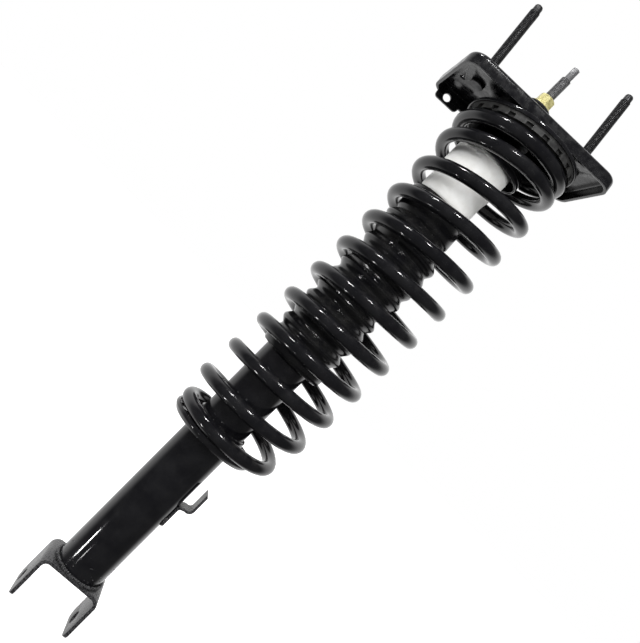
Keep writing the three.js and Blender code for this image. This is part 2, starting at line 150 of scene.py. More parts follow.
lamp("fill_left", -35, 0.4, 1.6, (1.2, 1.2), 32, in_reflections=False)
lamp("fill_right", 40, 0.1, 1.7, (1.2, 1.2), 22, in_reflections=False)
for pair, azimuth in (("left", -62), ("front", 0)):
    for tube, height in (("upper", 1.3), ("lower", 1.02)):
        lamp(f"{pair}_{tube}", azimuth, height, 1.1, (0.16, 0.05), 4.5)
lamp("low_left", -53, -0.762, 0.32, (0.02, 0.058), 0.3, aimed_at=-0.6)
lamp("low_middle", -26, -0.788, 0.32, (0.012, 0.022), 0.022, aimed_at=-0.6)


# ---- damper tube ----
# The outer tube is drawn steel, 50.8 mm across, rolled in over the rod seal at the top and closed at its
# foot by a welded cap. It is painted gloss black after assembly, with the pan and the clevis.
def node_group(name, inputs, outputs):
    group = bpy.data.node_groups.new(name, "ShaderNodeTree")
    for label, value in inputs.items():
        socket = group.interface.new_socket(label, in_out="INPUT", socket_type="NodeSocketFloat")
        socket.default_value = value
    for label in outputs:
        group.interface.new_socket(label, in_out="OUTPUT", socket_type="NodeSocketFloat")
    return group, group.nodes.new("NodeGroupInput"), group.nodes.new("NodeGroupOutput")


def grain_group():
    """Fine grain for the bump, and slow blotches for colour and roughness. Sizes are in millimetres."""
    sizes = {"Size": 1.0, "Blotch Size": 12.0}
    group, given, result = node_group("surface_grain", sizes, ["Height", "Blotch"])
    where = group.nodes.new("ShaderNodeTexCoord")
    for label, amount, detail, low, high in (("Height", "Size", 3, 0, 1),
                                             ("Blotch", "Blotch Size", 5, 0.36, 0.64)):
        per_metre = group.nodes.new("ShaderNodeMath")
        per_metre.operation = "DIVIDE"
        per_metre.inputs[0].default_value = 1 / MM
        noise = group.nodes.new("ShaderNodeTexNoise")
        noise.inputs["Detail"].default_value = detail
        group.links.new(given.outputs[amount], per_metre.inputs[1])
        group.links.new(where.outputs["Object"], noise.inputs["Vector"])
        group.links.new(per_metre.outputs["Value"], noise.inputs["Scale"])
        contrast = group.nodes.new("ShaderNodeMapRange")
        contrast.inputs["From Min"].default_value = low
        contrast.inputs["From Max"].default_value = high
        group.links.new(noise.outputs["Fac"], contrast.inputs["Value"])
        group.links.new(contrast.outputs["Result"], result.inputs[label])
    return group


def wear_and_sheen_group():
    """Where sharp edges have lost their finish, broken up so that it comes and goes along the edge. Given a
    pale colour, the same mask paints a highlight along the edges.
    """
    group, given, result = node_group("edge_wear_and_sheen", {"Amount": 0.5}, ["Mask"])
    where = group.nodes.new("ShaderNodeTexCoord")
    shape = group.nodes.new("ShaderNodeNewGeometry")
    rounded = group.nodes.new("ShaderNodeBevel")
    rounded.samples = 4
    rounded.inputs["Radius"].default_value = 0.7 * MM
    likeness = group.nodes.new("ShaderNodeVectorMath")
    likeness.operation = "DOT_PRODUCT"
    edges = group.nodes.new("ShaderNodeMapRange")
    edges.inputs["From Min"].default_value = 0.97
    edges.inputs["From Max"].default_value = 0.85
    noise = group.nodes.new("ShaderNodeTexNoise")
    noise.inputs["Scale"].default_value = 350
    noise.inputs["Detail"].default_value = 6
    patches = group.nodes.new("ShaderNodeMapRange")
    patches.inputs["From Min"].default_value = 0.42
    patches.inputs["From Max"].default_value = 0.62
    both = group.nodes.new("ShaderNodeMath")
    both.operation = "MULTIPLY"
    amount = group.nodes.new("ShaderNodeMath")
    amount.operation = "MULTIPLY"
    group.links.new(shape.outputs["Normal"], likeness.inputs[0])
    group.links.new(rounded.outputs["Normal"], likeness.inputs[1])
    group.links.new(likeness.outputs["Value"], edges.inputs["Value"])
    group.links.new(where.outputs["Object"], noise.inputs["Vector"])
    group.links.new(noise.outputs["Fac"], patches.inputs["Value"])
    group.links.new(edges.outputs["Result"], both.inputs[0])
    group.links.new(patches.outputs["Result"], both.inputs[1])
    group.links.new(both.outputs["Value"], amount.inputs[0])
    group.links.new(given.outputs["Amount"], amount.inputs[1])
    group.links.new(amount.outputs["Value"], result.inputs["Mask"])
    return group


def dust_group():
    """A light film of workshop dust on faces that look upwards."""
    group, given, result = node_group("dust_film", {"Amount": 0.2}, ["Mask"])
    where = group.nodes.new("ShaderNodeTexCoord")
    shape = group.nodes.new("ShaderNodeNewGeometry")
    split = group.nodes.new("ShaderNodeSeparateXYZ")
    tops = group.nodes.new("ShaderNodeMapRange")
    tops.inputs["From Min"].default_value = 0.1
    tops.inputs["To Min"].default_value = 0.15
    noise = group.nodes.new("ShaderNodeTexNoise")
    noise.inputs["Scale"].default_value = 160
    noise.inputs["Detail"].default_value = 8
    specks = group.nodes.new("ShaderNodeMapRange")
    specks.inputs["From Min"].default_value = 0.5
    specks.inputs["From Max"].default_value = 0.72
    both = group.nodes.new("ShaderNodeMath")
    both.operation = "MULTIPLY"
    amount = group.nodes.new("ShaderNodeMath")
    amount.operation = "MULTIPLY"
    group.links.new(shape.outputs["Normal"], split.inputs["Vector"])
    group.links.new(split.outputs["Z"], tops.inputs["Value"])
    group.links.new(where.outputs["Object"], noise.inputs["Vector"])
    group.links.new(noise.outputs["Fac"], specks.inputs["Value"])
    group.links.new(tops.outputs["Result"], both.inputs[0])
    group.links.new(specks.outputs["Result"], both.inputs[1])
    group.links.new(both.outputs["Value"], amount.inputs[0])
    group.links.new(given.outputs["Amount"], amount.inputs[1])
    group.links.new(amount.outputs["Value"], result.inputs["Mask"])
    return group


SURFACE_GRAIN = grain_group()
EDGE_WEAR_AND_SHEEN = wear_and_sheen_group()
DUST_FILM = dust_group()
DUST_COLOUR = (0.19, 0.18, 0.165)


def finish(name, colour, second, roughness, spread, metallic=0.0, grain=1.0, blotch=14.0, depth=0.01,
           bare_and_sheen=(0.35, 0.35, 0.35), wear_and_sheen=0.0, dust=0.1):
    """A surface of two close colours in blotches, with grain, rubbed edges (a painted highlight where their
    colour is pale) and dust. Lengths in millimetres.
    """
    material = bpy.data.materials.new(name)
    material.use_nodes = True
    tree = material.node_tree
    shader = tree.nodes["Principled BSDF"]
    shader.inputs["Metallic"].default_value = metallic
    surface = tree.nodes.new("ShaderNodeGroup")
    surface.node_tree = SURFACE_GRAIN
    surface.inputs["Size"].default_value = grain
    surface.inputs["Blotch Size"].default_value = blotch
    layers = [("blotches", second, surface.outputs["Blotch"])]
    for label, group, amount, tint in (("worn", EDGE_WEAR_AND_SHEEN, wear_and_sheen, bare_and_sheen),
                                       ("dusty", DUST_FILM, dust, DUST_COLOUR)):
        layer = tree.nodes.new("ShaderNodeGroup")
        layer.node_tree = group
        layer.inputs["Amount"].default_value = amount
        layers.append((label, tint, layer.outputs["Mask"]))
    under = None
    for label, tint, mask in layers:
        mix = tree.nodes.new("ShaderNodeMix")
        mix.label = label
        mix.data_type = "RGBA"
        mix.inputs[6].default_value = (*colour, 1)
        mix.inputs[7].default_value = (*tint, 1)
        tree.links.new(mask, mix.inputs[0])
        if under:
            tree.links.new(under, mix.inputs[6])
        under = mix.outputs[2]
    tree.links.new(under, shader.inputs["Base Color"])
    gloss = tree.nodes.new("ShaderNodeMapRange")
    gloss.inputs["To Min"].default_value = roughness - spread
    gloss.inputs["To Max"].default_value = roughness + spread
    matt = tree.nodes.new("ShaderNodeMath")
    matt.operation = "ADD"
    matt.use_clamp = True
    tree.links.new(surface.outputs["Blotch"], gloss.inputs["Value"])
    tree.links.new(gloss.outputs["Result"], matt.inputs[0])
    tree.links.new(layers[2][2], matt.inputs[1])
    tree.links.new(matt.outputs["Value"], shader.inputs["Roughness"])
    bump = tree.nodes.new("ShaderNodeBump")
    bump.inputs["Distance"].default_value = depth * MM
    tree.links.new(surface.outputs["Height"], bump.inputs["Height"])
    tree.links.new(bump.outputs["Normal"], shader.inputs["Normal"])
    return material


def drawn(name, start, moves, closed):
    """Draws an outline in the XZ plane from a single point, by extruding it from place to place."""
    bpy.ops.object.select_all(action="DESELECT")
    bpy.ops.mesh.primitive_plane_add(size=MM)
    piece = bpy.context.object
    piece.name = name
    piece.data.name = name
    bpy.ops.object.mode_set(mode="EDIT")
    bpy.ops.mesh.select_mode(type="VERT")
    bpy.ops.mesh.merge(type="CENTER")
    bpy.ops.transform.translate(value=start)
    for move in moves:
        bpy.ops.mesh.extrude_region_move(TRANSFORM_OT_translate={"value": move})
    bpy.ops.mesh.select_all(action="SELECT")
    if closed:
        bpy.ops.mesh.remove_doubles(threshold=0.001 * MM)
    return piece


def spun(name, outline, steps=96):
    """A round piece spun about the damper axis from a closed outline of [radius, height] in millimetres."""
    loop = [*outline, outline[0]] if outline[0][0] > 0 else outline
    moves = [((r1 - r0) * MM, 0, (z1 - z0) * MM) for (r0, z0), (r1, z1) in zip(loop, loop[1:])]
    piece = drawn(name, (loop[0][0] * MM, 0, loop[0][1] * MM), moves, closed=True)
    bpy.ops.mesh.spin(steps=steps, angle=2 * math.pi, center=(0, 0, 0), axis=(0, 0, 1))
    bpy.ops.mesh.select_all(action="SELECT")
    bpy.ops.mesh.remove_doubles(threshold=0.001 * MM)
    bpy.ops.mesh.normals_make_consistent(inside=False)
    bpy.ops.object.mode_set(mode="OBJECT")
    return piece


def apply_modifier(piece, kind, **settings):
    modifier = piece.modifiers.new(kind.lower(), kind)
    for setting, value in settings.items():
        setattr(modifier, setting, value)
    bpy.context.view_layer.objects.active = piece
    bpy.ops.object.modifier_apply(modifier=modifier.name)


def soften(piece, radius, segments=3, angle=30):
    """Rounds the edges sharper than the angle, and shades the rest smooth."""
    apply_modifier(piece, "BEVEL", width=radius * MM, segments=segments, limit_method="ANGLE",
                   angle_limit=math.radians(angle), use_clamp_overlap=True, harden_normals=False)
    smooth(piece, 40)


def smooth(piece, angle):
    bpy.ops.object.select_all(action="DESELECT")
    piece.select_set(True)
    bpy.context.view_layer.objects.active = piece
    bpy.ops.object.shade_smooth_by_angle(angle=math.radians(angle))


def paint(piece, material):
    piece.data.materials.clear()
    piece.data.materials.append(material)


gloss_black = finish("gloss_black_paint", (0.004, 0.004, 0.005), (0.008, 0.008, 0.009), 0.09, 0.03,
                     grain=2.2, depth=0.006, wear_and_sheen=0.12, dust=0.06)
TUBE_RADIUS = 25.4
TUBE_TOP = -258
TUBE_FOOT = -597.7
tube = spun("damper_tube", [
    [23.4, TUBE_FOOT], [TUBE_RADIUS, TUBE_FOOT], [TUBE_RADIUS, -291], [24.9, -289.6], [24.9, -288.4],
    [TUBE_RADIUS, -287], [TUBE_RADIUS, TUBE_TOP], [23.4, TUBE_TOP],
], steps=128)
soften(tube, 0.6)
paint(tube, gloss_black)
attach(tube, "damper_body")
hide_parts("reserve_tube")


# ---- parts inside the tube ----
# Bright drawn steel for the pressure tube, foot cap, valve discs and rod stop; pressed iron powder for the
# guide, piston and foot valve; a bronze-filled band on the piston; oil-proof rubber for the rod seal.
bright_steel = finish("bright_steel", (0.42, 0.42, 0.43), (0.34, 0.34, 0.35), 0.3, 0.08, metallic=1.0,
                      grain=0.5, depth=0.006, wear_and_sheen=0.2, dust=0.05)
pressed_iron = finish("pressed_iron", (0.13, 0.13, 0.135), (0.09, 0.09, 0.09), 0.55, 0.1, metallic=0.8,
                      grain=0.35, blotch=5, depth=0.03, wear_and_sheen=0.4, dust=0.1)
filled_band = finish("bronze_filled_band", (0.21, 0.15, 0.09), (0.15, 0.11, 0.07), 0.45, 0.08,
                     grain=0.6, depth=0.01, wear_and_sheen=0.2, dust=0.05)
seal_rubber = finish("seal_rubber", (0.016, 0.016, 0.016), (0.025, 0.025, 0.024), 0.55, 0.1,
                     grain=0.8, depth=0.02, wear_and_sheen=0.1, dust=0.15)
inner_parts = {
    "pressure_tube": bright_steel, "base_cap": bright_steel, "rebound_stop": bright_steel,
    "rebound_valve_discs": bright_steel, "compression_valve_discs": bright_steel, "piston_nut": bright_steel,
    "rod_guide": pressed_iron, "piston": pressed_iron, "base_valve": pressed_iron,
    "piston_band": filled_band, "rod_seal": seal_rubber,
}
for node, material in inner_parts.items():
    paint(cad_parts[node], material)


# ---- strike cap ----
# A drawn steel cap pressed over the tube's top. The foam bumper meets it at the end of the stroke. It has a
# raised centre round the rod, and a rolled skirt.
strike_cap = spun("tube_strike_cap", [
    [8, TUBE_TOP + 0.3], [25.7, TUBE_TOP + 0.3], [25.7, TUBE_TOP - 12], [26.9, TUBE_TOP - 12],
    [26.9, TUBE_TOP + 0.6], [25.6, TUBE_TOP + 2], [14, TUBE_TOP + 2], [13, TUBE_TOP + 1.4],
    [9, TUBE_TOP + 1.4], [8, TUBE_TOP + 1.9],
])
soften(strike_cap, 0.3)
paint(strike_cap, bright_steel)
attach(strike_cap, "damper_body")
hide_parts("strike_cap")


# ---- lower spring pan ----
# Pressed 3 mm steel: a hub that grips the tube, a trough for the spring's foot coil and an upturned rim.
# It is held by a ring of weld under the hub, and painted with the tube.
SEAT_FLOOR = -421
lower_pan = spun("lower_spring_pan", [
    [25.7, -402], [28, -402.6], [28.5, -414], [30.7, SEAT_FLOOR + 3.4], [33.7, SEAT_FLOOR + 2.5],
    [43, SEAT_FLOOR + 2.5], [45.5, -416], [45.6, -413.3], [47.9, -413.3], [48, -416.6],
    [44.4, SEAT_FLOOR], [32.3, SEAT_FLOOR], [28.7, SEAT_FLOOR + 2], [25.7, SEAT_FLOOR + 6],
], steps=128)
soften(lower_pan, 0.9, segments=4, angle=20)
paint(lower_pan, gloss_black)
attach(lower_pan, "damper_body")
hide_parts("lower_spring_seat")


# ---- weld beads ----
# Fillet welds run round the tube under the pan and on the clevis strap. Each bead is a row of overlapping
# ripples left by the arc, and a little spatter sticks to the tube above the lower one.
coarse_black = finish("coarse_black_paint", (0.004, 0.004, 0.005), (0.06, 0.06, 0.062), 0.3, 0.12,
                      grain=1.3, blotch=1.7, depth=0.2, wear_and_sheen=0.12, dust=0.15)


def copy_round(count):
    """Copies what is selected in edit mode round the damper axis, until there are count of them."""
    turn = 2 * math.pi * (count - 1) / count
    bpy.ops.mesh.spin(steps=count - 1, dupli=True, angle=turn, center=(0, 0, 0), axis=(0, 0, 1))


def weld_bead(name, radius, height, width, ripples):
    bpy.ops.object.select_all(action="DESELECT")
    bpy.ops.mesh.primitive_ico_sphere_add(subdivisions=2, radius=width * MM,
                                          location=(radius * MM, 0, height * MM))
    bead = bpy.context.object
    bead.name = name
    bead.data.name = name
    bpy.ops.object.transform_apply(location=True, rotation=True, scale=True)
    bpy.ops.object.mode_set(mode="EDIT")
    bpy.ops.mesh.select_all(action="SELECT")
    centre = (radius * MM, 0, height * MM)
    bpy.ops.transform.resize(value=(0.85, 0.8, 1), center_override=centre)
    copy_round(ripples)
    bpy.ops.object.mode_set(mode="OBJECT")
    smooth(bead, 60)
    return bead


def joined(name, *pieces):
    bpy.ops.object.select_all(action="DESELECT")
    for piece in pieces:
        piece.select_set(True)
    bpy.context.view_layer.objects.active = pieces[0]
    bpy.ops.object.join()
    pieces[0].name = name
    return pieces[0]


clevis_bead = weld_bead("clevis_weld_bead", 26.6, TUBE_FOOT + 2, 2, 66)
paint(clevis_bead, coarse_black)
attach(clevis_bead, "damper_body")
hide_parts("clevis_weld")

pan_bead = weld_bead("pan_weld_bead", 26.8, SEAT_FLOOR + 1.2, 2, 70)
paint(pan_bead, coarse_black)
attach(pan_bead, "damper_body")
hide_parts("seat_weld")

SPATTER_DROPS = 90
chance = random.Random(7)
drops = []
for i in range(SPATTER_DROPS):
    turn = chance.uniform(0, 2 * math.pi)
    size = chance.uniform(0.22, 0.62) * MM
    reach = (TUBE_RADIUS - 0.02) * MM
    height = (TUBE_FOOT + 5 + 22 * chance.random() ** 2) * MM
    bpy.ops.mesh.primitive_ico_sphere_add(subdivisions=1, radius=size,
                                          location=(reach * math.cos(turn), reach * math.sin(turn), height))
    drops.append(bpy.context.object)
spatter = joined("weld_spatter", *drops)
bpy.ops.object.transform_apply(location=True, rotation=True, scale=True)
smooth(spatter, 60)
paint(spatter, coarse_black)
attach(spatter, "damper_body")


# ---- clevis ----
# A 3.6 mm steel strap bent into a fork that straddles the knuckle's bushing, with a 12.8 mm bolt hole
# through both legs. The legs' lower corners are cropped round. Blanked and bent, then welded on.
CLEVIS_TIP = -648
CLEVIS_SHEET = 3.6
CLEVIS_DEPTH = 47.5
CLEVIS_WIDTH = 68
CLEVIS_TOP = -598
CLEVIS_BOLT_RADIUS = 6.4
CLEVIS_BOLT_HEIGHT = -636.5


def strip(name, path, width, sheet, across=1):
    """Sheet steel of an even width in Y, bent along a path of [x, z] at the middle of the sheet."""
    (x0, z0), rest = path[0], path[1:]
    steps = [(0, width / across * MM, 0)] * across
    piece = drawn(name, (x0 * MM, -width / 2 * MM, z0 * MM), steps, closed=False)
    for (xa, za), (xb, zb) in zip(path, rest):
        move = ((xb - xa) * MM, 0, (zb - za) * MM)
        bpy.ops.mesh.extrude_region_move(TRANSFORM_OT_translate={"value": move})
    bpy.ops.mesh.select_all(action="SELECT")
    bpy.ops.mesh.normals_make_consistent(inside=False)
    bpy.ops.object.mode_set(mode="OBJECT")
    apply_modifier(piece, "SOLIDIFY", thickness=sheet * MM, offset=0, use_even_offset=True)
    return piece


def edit_edges(piece, wanted):
    """Enters edit mode with only those edges selected for which wanted(one end, other end) is true."""
    bpy.ops.object.select_all(action="DESELECT")
    piece.select_set(True)
    bpy.context.view_layer.objects.active = piece
    bpy.ops.object.mode_set(mode="EDIT")
    bpy.ops.mesh.select_mode(type="EDGE")
    bpy.ops.mesh.select_all(action="DESELECT")
    bpy.ops.object.mode_set(mode="OBJECT")
    points = piece.data.vertices
    for edge in piece.data.edges:
        edge.select = wanted(*(points[i].co for i in edge.vertices))
    bpy.ops.object.mode_set(mode="EDIT")


def bend(x, z, radius, start, end, pieces=6):
    """Points round a bend about (x, z), from one angle to another in degrees."""
    angles = [math.radians(start + (end - start) * i / pieces) for i in range(pieces + 1)]
    return [(x + radius * math.cos(a), z + radius * math.sin(a)) for a in angles]


def carve(piece, tool, operation="DIFFERENCE"):
    """Cuts the tool out of the piece, or joins it on."""
    apply_modifier(piece, "BOOLEAN", object=tool, operation=operation, solver="EXACT")
    bpy.data.objects.remove(tool)


def rod_tool(radius, length, place, turn=(0, 0, 0), vertices=64):
    """A round cutting tool. Lengths and place in millimetres."""
    bpy.ops.mesh.primitive_cylinder_add(vertices=vertices, radius=radius * MM, depth=length * MM,
                                        location=[v * MM for v in place], rotation=turn)
    bpy.ops.object.transform_apply(location=True, rotation=True, scale=True)
    return bpy.context.object


leg = CLEVIS_WIDTH / 2 - CLEVIS_SHEET / 2
bend_radius = 7.2
bend_height = CLEVIS_TOP - CLEVIS_SHEET / 2 - bend_radius
clevis = strip("clevis", [
    (-leg, CLEVIS_TIP), (-leg, -628), *bend(bend_radius - leg, bend_height, bend_radius, 180, 90, 10),
    *bend(leg - bend_radius, bend_height, bend_radius, 90, 0, 10), (leg, -628), (leg, CLEVIS_TIP),
], CLEVIS_DEPTH, CLEVIS_SHEET)
edit_edges(clevis, lambda a, b: max(a.z, b.z) < (CLEVIS_TIP + 1) * MM and abs(a.x - b.x) > 1 * MM
           and abs(a.y - b.y) < 0.1 * MM)
bpy.ops.mesh.bevel(offset=9 * MM, segments=8)
bpy.ops.object.mode_set(mode="OBJECT")
carve(clevis, rod_tool(CLEVIS_BOLT_RADIUS, 90, (0, 0, CLEVIS_BOLT_HEIGHT), turn=(0, math.pi / 2, 0)))
soften(clevis, 0.45, segments=2, angle=35)
paint(clevis, coarse_black)
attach(clevis, "damper_body")
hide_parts("clevis_bracket")


# ---- hose hook ----
# A 2.5 mm strip, 18 mm wide, bent into an upright hook for the brake hose. Its foot is rolled to the tube
# and welded there, and its tip is cropped at 45 degrees.
HOOK_SHEET = 2.5
foot = TUBE_RADIUS + 0.3 + HOOK_SHEET / 2
hook = strip("hose_hook_strip", [
    (foot, -511), (foot, -501), *bend(foot + 5, -492, 5, 180, 90), *bend(33, -482, 5, 270, 360), (38, -471),
    (38, -460),
], 18, HOOK_SHEET, across=10)
bpy.ops.object.select_all(action="DESELECT")
hook.select_set(True)
bpy.ops.object.mode_set(mode="EDIT")
bpy.ops.mesh.select_all(action="SELECT")
bpy.ops.mesh.bisect(plane_co=(39.25 * MM, 0, -464 * MM), plane_no=(1, 0, 1), use_fill=True, clear_outer=True)
bpy.ops.object.mode_set(mode="OBJECT")
for vertex in hook.data.vertices:
    if vertex.co.z < -489 * MM:
        sag = foot * MM - math.sqrt((foot * MM) ** 2 - vertex.co.y ** 2)
        vertex.co.x -= sag
soften(hook, 0.4, segments=2, angle=35)
paint(hook, coarse_black)
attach(hook, "damper_body")
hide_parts("hose_hook")

# The strip is welded along its foot and a little way up both sides, in uneven blobs.
foot_blobs = ((-511, -18, 2), (-511.6, -11, 2.3), (-511.2, -4, 2), (-511.7, 4, 2.4), (-511.1, 11, 2.1),
              (-511.4, 18, 2.2))
side_blobs = ((-508, -21, 1.9), (-504.5, -21, 2), (-508, 21, 1.9), (-504.5, 21, 2))
hook_blobs = []
for height, turn, size in (*foot_blobs, *side_blobs):
    reach = TUBE_RADIUS + 0.6
    aside = math.radians(turn)
    place = Vector((reach * math.cos(aside), reach * math.sin(aside), height)) * MM
    bpy.ops.mesh.primitive_ico_sphere_add(subdivisions=2, radius=size * MM, location=place)
    hook_blobs.append(bpy.context.object)
hook_bead = joined("hook_weld_bead", *hook_blobs)
bpy.ops.object.transform_apply(location=True, rotation=True, scale=True)
smooth(hook_bead, 60)
paint(hook_bead, coarse_black)
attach(hook_bead, "damper_body")


# ---- piston rod ----
# Ground and chromed bar, 12.5 mm across, turned down to an M10 thread at the top. Above the thread is a
# narrower hexagon that stops the rod turning while the nut is tightened.
def thread(name, radius, depth, pitch, low, high):
    """A helical ridge of a triangular section, wound round a shank."""
    core = radius - depth
    section = [[core - 0.15, 0], [core - 0.15, pitch * 0.9], [radius, pitch * 0.53], [radius, pitch * 0.4]]
    moves = [((r1 - r0) * MM, 0, (z1 - z0) * MM) for (r0, z0), (r1, z1) in zip(section, section[1:])]
    ridge = drawn(name, (section[0][0] * MM, 0, (section[0][1] + low) * MM), moves, closed=False)
    bpy.ops.mesh.edge_face_add()
    bpy.ops.object.mode_set(mode="OBJECT")
    turns = int((high - low) / pitch) - 1
    apply_modifier(ridge, "SCREW", angle=2 * math.pi, screw_offset=pitch * MM, iterations=turns, steps=24,
                   render_steps=24, use_merge_vertices=False)
    bpy.ops.object.mode_set(mode="EDIT")
    bpy.ops.mesh.select_all(action="SELECT")
    bpy.ops.mesh.remove_doubles(threshold=0.001 * MM)
    bpy.ops.mesh.fill_holes(sides=len(section))
    bpy.ops.mesh.select_all(action="SELECT")
    bpy.ops.mesh.normals_make_consistent(inside=False)
    bpy.ops.object.mode_set(mode="OBJECT")
    return ridge


ground_steel = finish("ground_steel", (0.25, 0.25, 0.255), (0.13, 0.13, 0.135), 0.4, 0.08, metallic=0.5,
                      grain=0.4, blotch=3, depth=0.02, wear_and_sheen=0.3, dust=0.1)
PISTON_TOP = -322
rod = spun("rod_bar", [
    [0, -354], [4, -354], [4.8, -353], [4.8, PISTON_TOP + 4], [6.25, PISTON_TOP + 4], [6.25, -19.6],
    [5.4, -18.7], [4.35, -18.7], [4.35, 57.2], [3.4, 58], [0, 58],
], steps=48)
rod_thread = thread("rod_thread", 5, 0.72, 1.25, 18, 58)
tip = rod_tool(3.9, 14.5, (0, 0, 64.05), vertices=6)
soften(tip, 0.45, segments=2, angle=35)
rod = joined("rod_with_thread", rod, rod_thread, tip)
smooth(rod, 35)
paint(rod, ground_steel)
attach(rod, "rod_assembly")
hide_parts("piston_rod")


# ---- dust boot ----
# A moulded rubber bellows that keeps grit off the rod. Its collar grips the foam bumper's foot, and its cuff
# slides over the tube. It hangs a little off the rod, the way the spring bows.
BOW_ANGLE = math.radians(-10)
BOOT_WALL = 1.3
BOOT_TOP = -112.4
BOOT_PITCH = 15.4
BOOT_PEAKS = 10
FIRST_PEAK = -149
FOLD_POINTS = 12
CAP_ROOM = 28.5  # the cap's radius, the boot's wall and a little air


def smoothstep(value, low, high):
    share = min(max((value - low) / (high - low), 0), 1)
    return share * share * (3 - 2 * share)


def lean(piece, amount):
    """Moves each level of a piece off the damper axis by amount(height), all in millimetres."""
    for vertex in piece.data.vertices:
        aside = amount(vertex.co.z / MM) * MM
        vertex.co.x += aside * math.cos(BOW_ANGLE)
        vertex.co.y += aside * math.sin(BOW_ANGLE)


def boot_lean(z):
    return 4.8 * smoothstep(-z, 120, 170) - 2 * smoothstep(-z, 200, 240)


def boot_profile():
    """The bellows' outside. Its valleys stay clear of the strike cap, which slides up inside on bump."""
    points = [[31.6, BOOT_TOP], [32.6, BOOT_TOP - 0.7], [32.9, BOOT_TOP - 2], [32.9, -118], [32.2, -119.4],
              [32.2, -121], [32.8, -122.4], [32.6, -136], [32.4, -139]]
    for fold in range(BOOT_PEAKS):
        peak_height = FIRST_PEAK - fold * BOOT_PITCH
        for step in range(FOLD_POINTS):
            height = peak_height + BOOT_PITCH * (0.5 - step / FOLD_POINTS)
            if height > -141:
                continue
            valley = max(29 + 2.5 * smoothstep(-height, 200, 250), CAP_ROOM + boot_lean(height))
            peak = 36.2 if height < -220 else 37
            wave = 0.5 + 0.5 * math.cos(2 * math.pi * (height - peak_height) / BOOT_PITCH)
            points.append([valley + (peak - valley) * wave ** 0.8, height])
    return [*points, [31.6, -295.6], [33, -298], [34.9, -299.6], [35, -303], [34.4, -304], [34.4, -305.4],
            [35.2, -306.6], [35.4, -312], [34.4, -315.8], [33.4, -316.9]]


outside = boot_profile()
inside = [[r - BOOT_WALL, z] for r, z in reversed(outside)]
inside[-1] = [10, BOOT_TOP - BOOT_WALL]
inside[-2] = [outside[1][0] - BOOT_WALL, BOOT_TOP - BOOT_WALL]
boot = spun("bellows_boot", [[10, BOOT_TOP], *outside, *inside], steps=80)
lean(boot, boot_lean)
smooth(boot, 50)
boot_rubber = finish("boot_rubber", (0.005, 0.005, 0.006), (0.010, 0.010, 0.010), 0.2, 0.06,
                     grain=0.9, depth=0.02, bare_and_sheen=(0.06, 0.06, 0.06), wear_and_sheen=0.3, dust=0.08)
paint(boot, boot_rubber)
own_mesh(boot)
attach(boot, "rod_assembly")
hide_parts("dust_boot")


# ---- foam bumper ----
# The bump stop is a moulded cylinder of microcellular polyurethane, near white, necked below the middle so
# that it folds there first. It is pushed up into the steel cup and held by its own squeeze.
foam = finish("white_foam", (0.86, 0.86, 0.845), (0.78, 0.775, 0.75), 0.75, 0.08,
              grain=0.7, blotch=9, depth=0.10, bare_and_sheen=(0.9, 0.9, 0.88), wear_and_sheen=0.1, dust=0.05)
bumper = spun("foam_bumper", [
    [8, -48.8], [28.8, -48.8], [29.8, -50.5], [30.2, -54], [30.2, -74], [30.0, -78], [29.3, -81], [28.7, -84],
    [28.4, -87], [28.3, -90], [28.5, -94], [28.7, -100], [28.6, -106], [28.2, -109.5], [27, -111.3],
    [25.5, -112], [10, -112], [8, -110.5], [8, -90], [10, -86], [8, -82],
], steps=96)
apply_modifier(bumper, "SUBSURF", levels=1, render_levels=1)
smooth(bumper, 50)
paint(bumper, foam)
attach(bumper, "rod_assembly")
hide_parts("jounce_bumper")


# ---- bumper cup ----
# A deep-drawn steel cup under the mount that holds the top of the foam, with a rolled lip. It hangs off the
# rod's shoulder and leans a little with the spring.
cup = spun("bumper_cup", [
    [6.7, -21.6], [14, -21.6], [18.5, -28.5], [22, -35.2], [33, -42.6], [34.8, -46], [35.6, -54],
    [36.6, -55], [37.6, -54.6], [38, -52.5], [37.2, -47], [35.6, -41.6], [33.8, -39.6], [24, -33.6],
    [20, -26], [16.4, -19.8], [15, -19], [6.7, -19],
], steps=112)
lean(cup, lambda z: 2.4 * smoothstep(-z, 22, 45))
soften(cup, 0.5, segments=3, angle=24)
paint(cup, gloss_black)
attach(cup, "rod_assembly")
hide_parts("bump_cup")


# ---- coil spring ----
# Silicon-chromium spring wire, 13.4 mm thick, coiled hot, shot-peened and powder coated. It is a side-load
# spring: its axis bows to one side, the foot coil is tighter, and the last coil closes onto the one below.
WIRE_RADIUS = 6.72
COIL_RADIUS = 55.5
FOOT_COIL_RADIUS = 48.5
COIL_PITCH = 35.65
CLOSED_PITCH = 15.2
FIRST_TURN = 0.375  # turns are counted from the spring's right side
LAST_TURN = 12.15
POINTS_PER_TURN = 72
SQUASH_ANCHOR = -30
FULL_BUMP = 0.634  # the spring's share of its length with the stroke used up


def eased(share):
    if share < 0:
        return 0
    return share * share / 2 if share < 1 else share - 0.5


def wire_height(turn):
    climb = (COIL_PITCH - 1) * 0.5 * eased((turn - 0.5) / 0.5)
    closing = (COIL_PITCH - CLOSED_PITCH) * 0.35 * eased((turn - 10.75) / 0.35)
    return -408.4 + (turn - FIRST_TURN) + climb - closing


def wire_point(turn):
    """The middle of the wire at a turn, in metres."""
    z = wire_height(turn)
    above = z > -155
    bow = 15.8 - (4.5 if above else 8.8) * ((z + 155) / (125 if above else 245)) ** 2
    tilt = math.radians(3.8 - 7.8 * min(max((z + 270) / 220, 0), 1))
    radius = FOOT_COIL_RADIUS + (COIL_RADIUS - FOOT_COIL_RADIUS) * smoothstep(turn, 0.5, 1.5)
    x = radius * math.cos(2 * math.pi * turn)
    y = radius * math.sin(2 * math.pi * turn)
    forward_lean = 0.065 * smoothstep(z, -110, -30)
    point = Vector((bow + x * math.cos(tilt), y, z - x * math.sin(tilt) - y * forward_lean))
    return Quaternion((0, 0, 1), BOW_ANGLE) @ point * MM


